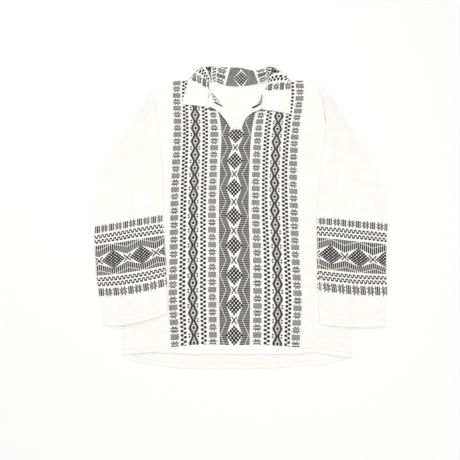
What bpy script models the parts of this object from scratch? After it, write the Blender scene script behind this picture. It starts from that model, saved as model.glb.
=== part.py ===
"""Long-sleeved tunic shirt of woven cotton, laid flat on a table with its front up.

The back panel lies on the table and the front panel lies on it. The sleeves are folded
down, so each flattened tube lies partly on the body and partly on the table. The pointed
collar lies open round the neck, and two narrow strips are turned outward beside the slit.

Places are in millimetres on the table: x to the right, y towards the collar, z up.
The last step moves the middle of the shirt's underside to the origin.
"""
import math
from collections import namedtuple

import bpy

for old in list(bpy.data.objects):
    bpy.data.objects.remove(old, do_unlink=True)

MM = 0.001

# Cloth and seams
BACK_WALL = 1.2
FRONT_WALL = 1.2
SLEEVE_WALL = 1.1
COLLAR_WALL = 2.2
FACING_WALL = 1.0
SEAM_GAP = 0.3
LAY_GAP = 0.5

# Lengths that the tables share
SHOULDER_TOP = 424.0
SLIT_BOTTOM = 277.0
SLIT_MIDDLE = 17.5
STEP_START = 2.0
STEP_RUN = 15.0
EDGE_GAP = 0.6
EDGE_FADE = 14.0
NECK_SEAM = 4.0
SHOULDER_FADE = 1.5

Side = namedtuple("Side", "y left right")
Pair = namedtuple("Pair", "outer_x outer_y inner_x inner_y")
Slit = namedtuple("Slit", "edge_x edge_y strip_x strip_y")
Point = namedtuple("Point", "x y")
Fold = namedtuple("Fold", "x0 y0 x1 y1 height width")

# Side edges of the body, from the hem up to the ends of the shoulders
SIDES = [
    Side(-320, -257, 291),
    Side(-244, -257, 288),
    Side(-120, -254, 284),
    Side(0, -249, 279),
    Side(100, -243, 273),
    Side(200, -236, 266),
    Side(300, -228, 258),
    Side(388, -219, 252),
]

# Shoulder lines, from the sleeve to the side of the neck
SHOULDER_LEFT = [
    Point(-219, 388), Point(-206, 400), Point(-193, 407), Point(-179, 414),
    Point(-160, 421), Point(-138, 424), Point(-100, 424), Point(-62, 424),
]
SHOULDER_RIGHT = [
    Point(252, 402), Point(242, 409), Point(226, 418), Point(207, 423),
    Point(190, 424), Point(170, 424), Point(138, 424), Point(106, 424),
]

# The seam at the back of the neck, from left to right
BACK_NECK = [
    Point(-62, 424), Point(-44, 418), Point(-22, 409), Point(-6, 406), Point(28, 405),
    Point(50, 407), Point(72, 411), Point(88, 415), Point(106, 424),
]

# Both sides of the neck slit, downwards: the cut edge and the outer edge of the strip on it
SLIT_LEFT = [
    Slit(-58, 424, -62, 424), Slit(-55, 410, -59, 409), Slit(-50, 396, -53, 393.5),
    Slit(-47, 385, -55, 382), Slit(-40, 374, -57, 370), Slit(-33, 364, -58.5, 357),
    Slit(-25, 354, -59, 346), Slit(-18, 344, -46, 340), Slit(-11, 331, -33, 331),
    Slit(-3, 316, -22, 319), Slit(3, 301, -11, 304), Slit(9, 288, -3, 290),
    Slit(SLIT_MIDDLE, SLIT_BOTTOM, 5, SLIT_BOTTOM),
]
SLIT_RIGHT = [
    Slit(102, 424, 106, 424), Slit(98, 408, 102, 408), Slit(92, 392, 96, 392),
    Slit(84, 373, 88, 371), Slit(80, 364, 87, 361), Slit(75, 355, 86.5, 350),
    Slit(66, 346, 86, 339), Slit(55, 337, 74, 331), Slit(47, 326, 60, 326),
    Slit(40, 314, 49, 317), Slit(34, 302, 40, 306), Slit(28, 289, 34, 291),
    Slit(SLIT_MIDDLE, SLIT_BOTTOM, 29, SLIT_BOTTOM),
]
STRIP_FIRST_ROW = {"left": 2, "right": 3}

# Hems, from left to right
FRONT_HEM = [
    Point(-258, -305), Point(-239, -304), Point(-189, -300), Point(-143, -302),
    Point(-72, -305), Point(24, -305), Point(119, -305), Point(167, -304),
    Point(196, -300), Point(227, -304), Point(261, -310), Point(290, -312),
]
BACK_HEM = [
    Point(-257, -308), Point(-231, -321), Point(-190, -330), Point(-119, -337),
    Point(-71, -338), Point(24, -338), Point(95, -337), Point(166, -333),
    Point(214, -330), Point(238, -326), Point(262, -320), Point(290, -314),
]

# Sleeves from the shoulder to the cuff: the outer fold and the fold on the body
SLEEVE_LEFT = [
    Pair(-221, 385, -209, 371), Pair(-233, 356, -199, 350), Pair(-256, 320, -195, 318),
    Pair(-282, 280, -192, 285), Pair(-303, 245, -188, 252), Pair(-323, 209, -184, 221),
    Pair(-336, 175, -180, 190), Pair(-344, 130, -176, 150), Pair(-348, 85, -173, 110),
    Pair(-348, 40, -172, 68), Pair(-345, -10, -170, 20), Pair(-339, -60, -165, -35),
    Pair(-332, -115, -160, -88), Pair(-322, -175, -156, -146), Pair(-308, -239, -151, -208),
]
SLEEVE_RIGHT = [
    Pair(262, 397, 243, 392), Pair(285, 366, 252, 371), Pair(301, 330, 255, 338),
    Pair(323, 292, 258, 302), Pair(342, 257, 255, 262), Pair(360, 222, 247, 225),
    Pair(377, 184, 241, 185), Pair(391, 147, 235, 143), Pair(402, 110, 229, 100),
    Pair(406, 70, 224, 60), Pair(403, 25, 221, 15), Pair(396, -30, 220, -35),
    Pair(390, -90, 218, -90), Pair(387, -157, 216, -153), Pair(381, -240, 217, -234),
]
CUFF_BOW = {"left": 9.0, "right": 5.0}
CUFF_BOW_START = 0.72

# Collar sections from the left point round the neck to the right point
COLLAR = [
    Pair(-131, 350, -61, 343), Pair(-123, 387, -60.5, 366), Pair(-113, 423, -56.5, 393),
    Pair(-101, 443, -57, 411), Pair(-78, 460, -55, 419), Pair(-52, 466, -48, 421),
    Pair(-33, 465, -35, 415), Pair(-3, 464, -11, 406), Pair(28, 463, 28, 404),
    Pair(63, 455, 70, 410), Pair(91, 459, 92, 417), Pair(111, 467, 102, 423),
    Pair(139, 449, 104, 419), Pair(163, 425, 102, 411), Pair(168, 390, 95, 390),
    Pair(165, 354, 89.5, 362), Pair(163, 322, 88.5, 335),
]
COLLAR_CROWN = 2.2
COLLAR_ROLL = 5.0
COLLAR_ROLL_PLACE = 0.50
COLLAR_ROLL_REACH = 0.13
COLLAR_DROP_START = 8.0
COLLAR_DROP_RUN = 14.0

# Largest soft folds of the front
FRONT_FOLDS = [
    Fold(-132, 120, -128, -230, 1.5, 11),
    Fold(158, 150, 160, -240, 1.6, 11),
    Fold(-60, 60, -48, -180, 0.9, 24),
    Fold(66, 90, 58, -120, 0.8, 24),
    Fold(10, 200, 12, 40, 0.7, 26),
    Fold(272, -262, 276, -330, 1.6, 7),
    Fold(-232, -268, -230, -330, 1.2, 9),
    Fold(-205, -262, -206, -330, 0.8, 9),
    Fold(-166, 384, -150, 396, 1.0, 6),
]
HEM_LIFT = 1.3
HEM_WAVE = 0.7
HEM_WAVE_LENGTH = 118.0
HEM_FADE = 22.0

# Largest soft folds of the sleeves: along is 0 at the shoulder and 1 at the cuff,
# across is 0 at the fold on the body and 1 at the outer fold
Crease = namedtuple("Crease", "along across length width height")
LEFT_CREASES = [
    Crease(0.30, 0.30, 0.10, 0.10, 1.3), Crease(0.42, 0.62, 0.12, 0.12, 1.0),
    Crease(0.16, 0.55, 0.06, 0.14, 1.1), Crease(0.62, 0.45, 0.10, 0.16, 0.8),
]
RIGHT_CREASES = [
    Crease(0.36, 0.22, 0.09, 0.07, 2.0), Crease(0.50, 0.60, 0.12, 0.12, 0.9),
    Crease(0.18, 0.50, 0.06, 0.14, 1.1), Crease(0.66, 0.40, 0.10, 0.16, 0.8),
]
SLEEVE_FULL = 1.1
CUFF_FULL = 1.6
CUFF_FULL_START = 0.8
SWELL_RISE = 5.0

# Shares of a sleeve's width between which its step down to the table stays
STEP_FIRST = 0.15
STEP_LAST = 0.80
STEP_END = 0.93

# Mesh fineness
PANEL_COLUMNS = 9
STRIP_COLUMNS = 2
FRONT_ROWS = 18
BACK_ROWS = 8
BACK_COLUMNS = 22
COLLAR_ROWS = 40
COLLAR_COLUMNS = 6
SLEEVE_RINGS = 27
LAYER_PARTS = 3

CREAM = (0.86, 0.83, 0.75, 1.0)
INK = (0.05, 0.05, 0.055, 1.0)


def blend(a, b, share):
    return a + (b - a) * share


def ease(value):
    """Rises smoothly from 0 at value 0 to 1 at value 1."""
    value = min(1.0, max(0.0, value))
    return value * value * (3.0 - 2.0 * value)


def spline(rows, place):
    """A smooth curve through the rows, with place running from 0 at the first to 1 at the last."""
    last = len(rows) - 1
    spot = min(max(place, 0.0), 1.0) * last
    start = min(int(spot), last - 1)
    share = spot - start
    before = rows[max(start - 1, 0)]
    after = rows[min(start + 2, last)]
    result = []
    for a, b, c, d in zip(before, rows[start], rows[start + 1], after):
        bend = (2 * a - 5 * b + 4 * c - d) * share ** 2 + (3 * b - a - 3 * c + d) * share ** 3
        result.append(b + 0.5 * ((c - a) * share + bend))
    return result


def by_length(rows, share):
    """The point at this share of a polyline's length."""
    lengths = [math.dist(a, b) for a, b in zip(rows, rows[1:])]
    left = share * sum(lengths)
    for index, length in enumerate(lengths):
        if left <= length or index == len(lengths) - 1:
            step = min(1.0, left / length)
            return [blend(a, b, step) for a, b in zip(rows[index], rows[index + 1])]
        left -= length
    return list(rows[-1])


def side_x(y, side):
    """Where the side edge of the body is at this height."""
    if y <= SIDES[0].y:
        return getattr(SIDES[0], side)
    for low, high in zip(SIDES, SIDES[1:]):
        if y <= high.y:
            return blend(getattr(low, side), getattr(high, side), (y - low.y) / (high.y - low.y))
    return getattr(SIDES[-1], side)


def ridge(fold, x, y):
    """Height of one soft fold: a bell across its line, fading past its ends."""
    dx = fold.x1 - fold.x0
    dy = fold.y1 - fold.y0
    share = ((x - fold.x0) * dx + (y - fold.y0) * dy) / (dx * dx + dy * dy)
    share = min(1.0, max(0.0, share))
    away = math.hypot(x - fold.x0 - share * dx, y - fold.y0 - share * dy)
    return fold.height * math.exp(-((away / fold.width) ** 2))


def front_hem_y(x):
    """Where the front's hem is at this place across the shirt."""
    return by_length(FRONT_HEM, (x - FRONT_HEM[0].x) / (FRONT_HEM[-1].x - FRONT_HEM[0].x))[1]


def front_top(x, y):
    """Height of the front's outer face: flat at its edges, with folds and a lifted hem."""
    hem = front_hem_y(x)
    lift = HEM_LIFT + HEM_WAVE * math.sin(2 * math.pi * x / HEM_WAVE_LENGTH)
    lift *= math.exp(-max(0.0, y - hem) / HEM_FADE)
    edge = min(x - side_x(y, "left"), side_x(y, "right") - x)
    folds = sum(ridge(fold, x, y) for fold in FRONT_FOLDS)
    return BACK_WALL + SEAM_GAP + FRONT_WALL + (lift + folds) * ease(edge / EDGE_FADE)


def add_object(name, verts, faces, colour):
    """One closed mesh object with its own material."""
    mesh = bpy.data.meshes.new(name)
    mesh.from_pydata([[value * MM for value in vert] for vert in verts], [], faces)
    mesh.update()
    mesh.shade_smooth()
    material = bpy.data.materials.new(name + "_cloth")
    material.use_nodes = True
    shader = material.node_tree.nodes["Principled BSDF"]
    shader.inputs["Base Color"].default_value = colour
    shader.inputs["Roughness"].default_value = 0.9
    shader.inputs["Metallic"].default_value = 0.0
    mesh.materials.append(material)
    made = bpy.data.objects.new(name, mesh)
    bpy.context.scene.collection.objects.link(made)
    return made


def make_wall(name, top, bottom, quads, colour):
    """A sheet with a thickness: its upper points, the lower ones under them, and the rim."""
    count = len(top)
    faces = []
    for a, b, c, d in quads:
        faces += [(a, b, c), (a, c, d)]
        faces += [(count + c, count + b, count + a), (count + d, count + c, count + a)]
    sides = {(a, b) for quad in quads for a, b in zip(quad, quad[1:] + quad[:1])}
    for a, b in sorted(sides):
        if (b, a) not in sides:
            faces.append((b, a, count + a, count + b))
    return add_object(name, list(top) + list(bottom), faces, colour)


def grid_quads(rows, columns):
    """Quads of a grid whose rows run upwards and whose columns run to the right."""
    quads = []
    for row in range(rows):
        for column in range(columns):
            first = row * (columns + 1) + column
            quads.append((first, first + 1, first + columns + 2, first + columns + 1))
    return quads


def make_back():
    """The back panel, flat on the table, from its hem up to the shoulders and the neck seam."""
    neck = [Point(p.x, p.y if p.y >= SHOULDER_TOP else p.y + NECK_SEAM) for p in BACK_NECK]
    upper = SHOULDER_LEFT[:-1] + neck + SHOULDER_RIGHT[::-1][1:]
    top = []
    for row in range(BACK_ROWS + 1):
        share = row / BACK_ROWS
        for column in range(BACK_COLUMNS + 1):
            across = column / BACK_COLUMNS
            low = by_length(BACK_HEM, across)
            high = by_length(upper, across)
            y = blend(low[1], high[1], share)
            straight = blend(low[0], high[0], share)
            left = side_x(y, "left")
            right = side_x(y, "right")
            ends = blend(left, right, across)
            middle_pull = ease(share) * math.sin(math.pi * across)
            x = blend(ends, straight, middle_pull) if 0 < column < BACK_COLUMNS else ends
            if row == BACK_ROWS:
                x = high[0]
            if row == 0:
                x = low[0]
            top.append((x, y, BACK_WALL))
    bottom = [(x, y, 0.0) for x, y, z in top]
    return make_wall("back", top, bottom, grid_quads(BACK_ROWS, BACK_COLUMNS), CREAM)


def front_half(side):
    """Rows of the front on one side, from the shoulder to the hem, each from side edge to middle."""
    slit = SLIT_LEFT if side == "left" else SLIT_RIGHT
    shoulder = SHOULDER_LEFT if side == "left" else SHOULDER_RIGHT
    rows = []
    last = len(slit) - 1
    top_y = shoulder[0].y
    for index, mark in enumerate(slit):
        share = index / last
        y = blend(top_y, SLIT_BOTTOM, share)
        start = Point(shoulder[0].x if index == 0 else side_x(y, side), y)
        row = []
        for column in range(PANEL_COLUMNS + 1):
            across = column / PANEL_COLUMNS
            arch = by_length(shoulder, across)
            base_x = blend(shoulder[0].x, shoulder[-1].x, across)
            base_y = blend(shoulder[0].y, shoulder[-1].y, across)
            fade = (1.0 - share) ** SHOULDER_FADE
            x = blend(start.x, mark.strip_x, across) + (arch[0] - base_x) * fade
            y_here = blend(start.y, mark.strip_y, across) + (arch[1] - base_y) * fade
            row.append((x, y_here))
        for column in range(1, STRIP_COLUMNS + 1):
            across = column / STRIP_COLUMNS
            strip_x = blend(mark.strip_x, mark.edge_x, across)
            strip_y = blend(mark.strip_y, mark.edge_y, across)
            row.append((strip_x, strip_y))
        rows.append(row)
    shares = slit_shares(rows[-1])
    hem_side = FRONT_HEM[0] if side == "left" else FRONT_HEM[-1]
    for step in range(1, FRONT_ROWS + 1):
        fall = step / FRONT_ROWS
        row = []
        for across in shares:
            edge_y = blend(SLIT_BOTTOM, hem_side.y, fall)
            x = blend(side_x(edge_y, side), SLIT_MIDDLE, across)
            row.append((x, blend(SLIT_BOTTOM, front_hem_y(x), fall)))
        rows.append(row)
    return rows


def slit_shares(row):
    """How far along each point of a row is, from 0 at the side edge to 1 at the middle."""
    whole = row[-1][0] - row[0][0]
    return [(x - row[0][0]) / whole for x, y in row]


def make_front():
    """The front panel: two halves that share the middle line below the slit."""
    halves = {side: front_half(side) for side in ("left", "right")}
    width = len(halves["left"][0])
    slit_rows = len(SLIT_LEFT)
    places = []
    numbers = {}
    for side in ("left", "right"):
        for r, row in enumerate(halves[side]):
            for c, place in enumerate(row):
                shared = side == "right" and c == width - 1 and r >= slit_rows - 1
                if shared:
                    numbers[side, r, c] = numbers["left", r, c]
                    continue
                numbers[side, r, c] = len(places)
                places.append(place)
    quads = []
    for side in ("left", "right"):
        for r in range(len(halves[side]) - 1):
            for c in range(width - 1):
                quad = [numbers[side, r + 1, c], numbers[side, r + 1, c + 1],
                        numbers[side, r, c + 1], numbers[side, r, c]]
                quads.append(tuple(quad if side == "left" else quad[::-1]))
    top = [(x, y, front_top(x, y)) for x, y in places]
    bottom = [(x, y, z - FRONT_WALL) for x, y, z in top]
    make_wall("front", top, bottom, quads, INK)
    return halves


def make_facing(halves, side):
    """The strip turned out beside the slit: the front's own points there, moved up."""
    first = STRIP_FIRST_ROW[side]
    rows = halves[side][first:len(SLIT_LEFT)]
    rows = [row[-1 - STRIP_COLUMNS:] for row in rows]
    if side == "right":
        rows = [row[::-1] for row in rows]
    rows = rows[::-1]
    places = [place for row in rows for place in row]
    lowest = STRIP_COLUMNS if side == "left" else 0
    apart = -SEAM_GAP if side == "left" else SEAM_GAP
    places[lowest] = (places[lowest][0] + apart, places[lowest][1])
    bottom = [(x, y, front_top(x, y) + SEAM_GAP) for x, y in places]
    top = [(x, y, z + FACING_WALL) for x, y, z in bottom]
    make_wall("slit_facing_" + side[0], top, bottom, grid_quads(len(rows) - 1, STRIP_COLUMNS), CREAM)


def outside_front(x, y):
    """How far a point near the neck is from the front panel, in plan."""
    def edge(slit):
        for high, low in zip(slit, slit[1:]):
            if y >= low.edge_y:
                share = min(1.0, (high.edge_y - y) / (high.edge_y - low.edge_y))
                return blend(high.edge_x, low.edge_x, max(0.0, share))
        return slit[-1].edge_x
    above = max(0.0, y - SHOULDER_TOP)
    inside = min(max(0.0, x - edge(SLIT_LEFT)), max(0.0, edge(SLIT_RIGHT) - x))
    return math.hypot(above, inside)


def make_collar():
    """The collar: sections fanned round the neck, lying on the shoulders and the front."""
    bottom = []
    for row in range(COLLAR_ROWS + 1):
        along = row / COLLAR_ROWS
        outer_x, outer_y, inner_x, inner_y = spline(COLLAR, along)
        turn = 2.0 * along - 1.0
        roll_place = (abs(turn) - COLLAR_ROLL_PLACE) / COLLAR_ROLL_REACH
        roll = COLLAR_ROLL * math.exp(-(roll_place ** 2))
        for column in range(COLLAR_COLUMNS + 1):
            across = column / COLLAR_COLUMNS
            x = blend(inner_x, outer_x, across)
            y = blend(inner_y, outer_y, across)
            on_front = front_top(x, y) + LAY_GAP
            on_back = BACK_WALL + SEAM_GAP
            drop = ease((outside_front(x, y) - COLLAR_DROP_START) / COLLAR_DROP_RUN)
            base = blend(on_front, on_back, drop)
            crown = COLLAR_CROWN * 4.0 * across * (1.0 - across)
            bottom.append((x, y, base + crown + roll * ease(across)))
    top = [(x, y, z + COLLAR_WALL) for x, y, z in bottom]
    quads = grid_quads(COLLAR_ROWS, COLLAR_COLUMNS)
    make_wall("collar", top, bottom, [quad[::-1] for quad in quads], INK)


def sleeve_rest(x, y, side):
    """Height that a sleeve's lower layer lies at: on the front, or stepping down to the table."""
    edge = side_x(y, side)
    out = edge - x if side == "left" else x - edge
    over = front_top(x if out < 0 else edge, y)
    return (over + LAY_GAP) * (1.0 - ease((out - STEP_START) / STEP_RUN))


def make_sleeve(side):
    """A flattened tube of rings: two layers with a rounded fold at each edge and open ends."""
    stations = SLEEVE_LEFT if side == "left" else SLEEVE_RIGHT
    creases = LEFT_CREASES if side == "left" else RIGHT_CREASES
    turn = SLEEVE_WALL + EDGE_GAP / 2
    skins = {"outer": [], "inner": []}
    for ring in range(SLEEVE_RINGS + 1):
        along = ring / SLEEVE_RINGS
        outer_x, outer_y, inner_x, inner_y = spline(stations, along)
        width = math.hypot(outer_x - inner_x, outer_y - inner_y)
        way_x = (outer_x - inner_x) / width
        way_y = (outer_y - inner_y) / width
        edge_x = side_x(0.5 * (outer_y + inner_y), side)
        edge_share = (edge_x - inner_x) / (outer_x - inner_x)
        step_share = STEP_START / width
        run_share = STEP_RUN / width
        low = turn / width
        high = 1.0 - turn / width
        on_body = min(max(edge_share + step_share, STEP_FIRST), STEP_LAST)
        on_table = min(on_body + run_share, STEP_END)
        parts = [part / LAYER_PARTS for part in range(LAYER_PARTS + 1)]
        shares = [blend(low, on_body, part) for part in parts]
        shares.append(blend(on_body, on_table, 0.5))
        shares += [blend(on_table, high, part) for part in parts]
        bow = CUFF_BOW[side] * ease((along - CUFF_BOW_START) / (1.0 - CUFF_BOW_START))
        full = blend(SLEEVE_FULL, CUFF_FULL, ease((along - CUFF_FULL_START) / (1.0 - CUFF_FULL_START)))
        layer = []
        for share in shares:
            sag = bow * 4.0 * share * (1.0 - share)
            x = blend(inner_x, outer_x, share)
            y = blend(inner_y, outer_y, share) - sag
            rest = sleeve_rest(x, y, side)
            rise = min(1.0, SWELL_RISE * min(share - low, high - share))
            swell = full * rise
            for crease in creases:
                bell = ((along - crease.along) / crease.length) ** 2
                bell += ((share - crease.across) / crease.width) ** 2
                swell += crease.height * math.exp(-bell) * rise
            layer.append((x, y, rest, EDGE_GAP + max(0.0, swell)))
        for name, inset in (("outer", 0.0), ("inner", SLEEVE_WALL)):
            skin = [(x, y, rest + inset) for x, y, rest, gap in layer]
            radius = turn - inset
            skin += fold_edge(layer[-1], way_x, way_y, radius, turn, False)
            skin += [(x, y, rest + 2 * SLEEVE_WALL + gap - inset) for x, y, rest, gap in layer[::-1]]
            skin += fold_edge(layer[0], -way_x, -way_y, radius, turn, True)
            skins[name].append(skin)
    close_tube("sleeve_" + side[0], skins["outer"], skins["inner"], side == "left")


def fold_edge(place, way_x, way_y, radius, turn, downwards):
    """Three points round the half circle where a layer turns back on itself."""
    x, y, rest, gap = place
    points = []
    for angle in (-45, 0, 45):
        reach = radius * math.cos(math.radians(angle))
        height = rest + turn + radius * math.sin(math.radians(angle))
        points.append((x + way_x * reach, y + way_y * reach, height))
    return points[::-1] if downwards else points


def close_tube(name, outer, inner, flip):
    """Joins the rings of both skins and closes the wall at the two open ends."""
    ring_size = len(outer[0])
    rings = len(outer)
    verts = [point for ring in outer for point in ring] + [point for ring in inner for point in ring]
    inside = rings * ring_size
    faces = []
    for ring in range(rings - 1):
        for spot in range(ring_size):
            after = (spot + 1) % ring_size
            a = ring * ring_size + spot
            b = ring * ring_size + after
            c = b + ring_size
            d = a + ring_size
            faces += [(a, b, c), (a, c, d)]
            faces += [(inside + c, inside + b, inside + a), (inside + d, inside + c, inside + a)]
    for spot in range(ring_size):
        after = (spot + 1) % ring_size
        faces.append((after, spot, inside + spot, inside + after))
        last = (rings - 1) * ring_size
        faces.append((last + spot, last + after, inside + last + after, inside + last + spot))
    if flip:
        faces = [face[::-1] for face in faces]
    add_object(name, verts, faces, INK)


def move_to_origin():
    """Puts the middle of the underside of the whole shirt at the origin."""
    made = [thing for thing in bpy.data.objects if thing.type == "MESH"]
    points = [vert.co for thing in made for vert in thing.data.vertices]
    middle_x = 0.5 * (min(p.x for p in points) + max(p.x for p in points))
    middle_y = 0.5 * (min(p.y for p in points) + max(p.y for p in points))
    for thing in made:
        for vert in thing.data.vertices:
            vert.co.x -= middle_x
            vert.co.y -= middle_y
        thing.data.update()
    print("moved by", round(-middle_x / MM, 3), round(-middle_y / MM, 3), "mm")


make_back()
front_halves = make_front()
make_facing(front_halves, "left")
make_facing(front_halves, "right")
make_collar()
make_sleeve("left")
make_sleeve("right")
move_to_origin()
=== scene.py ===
# Tunic shirt of cream hand-woven cotton with black brocade threads, laid flat with its front up.
# Places are in millimetres on the table: x right, y towards the collar, z up.
import math

import bpy
import numpy as np
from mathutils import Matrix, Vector


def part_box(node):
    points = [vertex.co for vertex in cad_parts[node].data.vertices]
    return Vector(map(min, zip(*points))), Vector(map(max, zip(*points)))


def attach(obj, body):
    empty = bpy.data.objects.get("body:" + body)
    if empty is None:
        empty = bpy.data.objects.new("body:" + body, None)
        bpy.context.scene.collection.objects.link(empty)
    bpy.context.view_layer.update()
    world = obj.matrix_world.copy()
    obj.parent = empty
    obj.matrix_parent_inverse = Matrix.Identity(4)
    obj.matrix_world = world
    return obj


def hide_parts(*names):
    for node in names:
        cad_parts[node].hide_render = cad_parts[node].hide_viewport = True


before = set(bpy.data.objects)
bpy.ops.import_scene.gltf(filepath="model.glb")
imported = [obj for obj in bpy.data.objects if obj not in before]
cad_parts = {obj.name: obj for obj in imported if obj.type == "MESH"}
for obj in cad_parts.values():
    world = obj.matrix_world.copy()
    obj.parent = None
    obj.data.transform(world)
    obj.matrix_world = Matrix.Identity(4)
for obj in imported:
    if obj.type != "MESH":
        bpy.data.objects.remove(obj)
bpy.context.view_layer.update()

mm = 0.001

# The back's lower left corner on the table, which gives the table's place in the frame
backCorner = {"x": -257.0, "y": -338.0}
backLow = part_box("back")[0]
tableX = backLow.x / mm - backCorner["x"]
tableY = backLow.y / mm - backCorner["y"]


# General helpers

def ease(value):
    value = np.clip(value, 0.0, 1.0)
    return value * value * (3.0 - 2.0 * value)


def mix(a, b, share):
    return a + (b - a) * share


def alongLine(points, share):  # the point at this share of a polyline's length
    line = np.array(points, float)
    steps = np.hypot(*np.diff(line, axis=0).T)
    far = np.concatenate([[0.0], np.cumsum(steps)])
    spot = np.clip(share, 0.0, 1.0) * far[-1]
    return np.interp(spot, far, line[:, 0]), np.interp(spot, far, line[:, 1])


def lengthsAlong(points):  # how far each point lies along its line
    return np.concatenate([[0.0], np.cumsum(np.linalg.norm(np.diff(points, axis=0), axis=1))])


def columnsAt(table, spot):  # each column of a table, read between its rows
    return [np.interp(spot, np.arange(len(table)), column) for column in np.transpose(table)]


def listed(*parts):  # grids, or rows and columns of one grid, as a list of points
    return np.stack(np.broadcast_arrays(*parts), axis=-1).reshape(-1, len(parts))


def curveRows(rows, place):  # a smooth curve through rows of numbers, place from 0 to 1
    table = np.array(rows, float)
    last = len(table) - 1
    spot = np.clip(place, 0.0, 1.0) * last
    start = np.minimum(spot.astype(int), last - 1)
    share = (spot - start)[..., None]
    a = table[np.maximum(start - 1, 0)]
    b = table[start]
    c = table[start + 1]
    d = table[np.minimum(start + 2, last)]
    bend = (2 * a - 5 * b + 4 * c - d) * share ** 2 + (3 * b - a - 3 * c + d) * share ** 3
    return b + 0.5 * ((c - a) * share + bend)


def foldHeight(folds, x, y):  # sum of soft folds: a bell across each line, fading past its ends
    total = np.zeros(np.broadcast(x, y).shape)
    for x0, y0, x1, y1, height, width in folds:
        dx = x1 - x0
        dy = y1 - y0
        share = np.clip(((x - x0) * dx + (y - y0) * dy) / (dx * dx + dy * dy), 0.0, 1.0)
        away = np.hypot(x - x0 - share * dx, y - y0 - share * dy)
        total = total + height * np.exp(-((away / width) ** 2))
    return total


crossedWaves = {
    "angles": (0.3, 1.2, 2.0, 2.9),  # radians, the way each wave runs
    "growth": 0.23,  # share by which each wave is longer than the one before
    "shift": (1.7, 3.0),  # radians for each wave, and for each radian of turn
}


def rippleHeight(ripples, x, y):  # for each (length, height, turn), crossed sine waves added up
    total = np.zeros(np.broadcast(x, y).shape)
    for length, height, turn in ripples:
        for index, angle in enumerate(crossedWaves["angles"]):
            size = length * (1.0 + crossedWaves["growth"] * index)
            across = x * math.cos(angle + turn) + y * math.sin(angle + turn)
            phase = crossedWaves["shift"][0] * index + crossedWaves["shift"][1] * turn
            total = total + height / 4.0 * np.sin(2 * math.pi * across / size + phase)
    return total


# Meshes

def numbered(shape, start=0):  # vertex numbers of a grid, row by row
    return np.arange(int(np.prod(shape))).reshape(shape) + start


def gridFaces(ids):  # quads of a grid of vertex numbers, columns rightwards and rows upwards
    a = ids[:-1, :-1]
    b = ids[:-1, 1:]
    c = ids[1:, 1:]
    d = ids[1:, :-1]
    return np.stack([a, b, c, d], axis=-1).reshape(-1, 4)


def makeObject(name, verts, quads, material, uv=None):
    mesh = bpy.data.meshes.new(name)
    verts = np.asarray(verts, float).reshape(-1, 3) + (tableX, tableY, 0.0)
    quads = np.asarray(quads, np.int32).reshape(-1, 4)
    mesh.vertices.add(len(verts))
    mesh.vertices.foreach_set("co", (verts * mm).astype(np.float32).ravel())
    mesh.loops.add(quads.size)
    mesh.loops.foreach_set("vertex_index", quads.ravel())
    mesh.polygons.add(len(quads))
    mesh.polygons.foreach_set("loop_start", np.arange(0, quads.size, 4, dtype=np.int32))
    mesh.update(calc_edges=True)
    if uv is not None:
        layer = mesh.uv_layers.new(name="weave")
        layer.data.foreach_set("uv", np.asarray(uv, np.float32)[quads.ravel()].ravel())
    mesh.validate()
    mesh.shade_smooth()
    mesh.materials.append(material)
    made = bpy.data.objects.new(name, mesh)
    bpy.context.scene.collection.objects.link(made)
    return made


def makeShell(name, verts, quads, wall, material, uv):
    # A sheet with a wall, even or given at each point: upper points, lower ones straight under
    # them, and a rounded rim
    verts = np.asarray(verts, float)
    wall = np.broadcast_to(wall, len(verts))
    quads = np.asarray(quads)
    used, quads = np.unique(quads, return_inverse=True)
    quads = quads.reshape(-1, 4)
    verts = verts[used]
    wall = wall[used]
    uv = np.asarray(uv, float)[used]
    count = len(verts)
    starts = quads.ravel()
    ends = np.roll(quads, -1, axis=1).ravel()
    unpaired = ~np.isin(starts * count + ends, ends * count + starts)
    rimA = starts[unpaired]
    rimB = ends[unpaired]
    outward = np.zeros((count, 2))
    step = verts[rimB, :2] - verts[rimA, :2]
    side = np.stack([step[:, 1], -step[:, 0]], axis=1)
    np.add.at(outward, rimA, side)
    np.add.at(outward, rimB, side)
    rim = np.unique(np.concatenate([rimA, rimB]))
    outward = outward[rim] / np.linalg.norm(outward[rim], axis=1)[:, None]
    half = 0.5 * wall[rim][:, None]
    middle = verts[rim] + np.hstack([outward * half, -half])
    number = np.zeros(count, int)
    number[rim] = np.arange(len(rim)) + 2 * count
    lower = verts - wall[:, None] * (0.0, 0.0, 1.0)
    faces = [
        quads,
        quads[:, ::-1] + count,
        np.stack([rimB, rimA, number[rimA], number[rimB]], axis=1),
        np.stack([number[rimB], number[rimA], rimA + count, rimB + count], axis=1),
    ]
    places = np.concatenate([verts, lower, middle])
    allUv = np.concatenate([uv, uv, uv[rim]])
    return makeObject(name, places, np.concatenate(faces), material, allUv)


ribbon = {"tip": 0.2, "crown": 0.45, "edge": 0.05}  # shares of a thread's width


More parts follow.
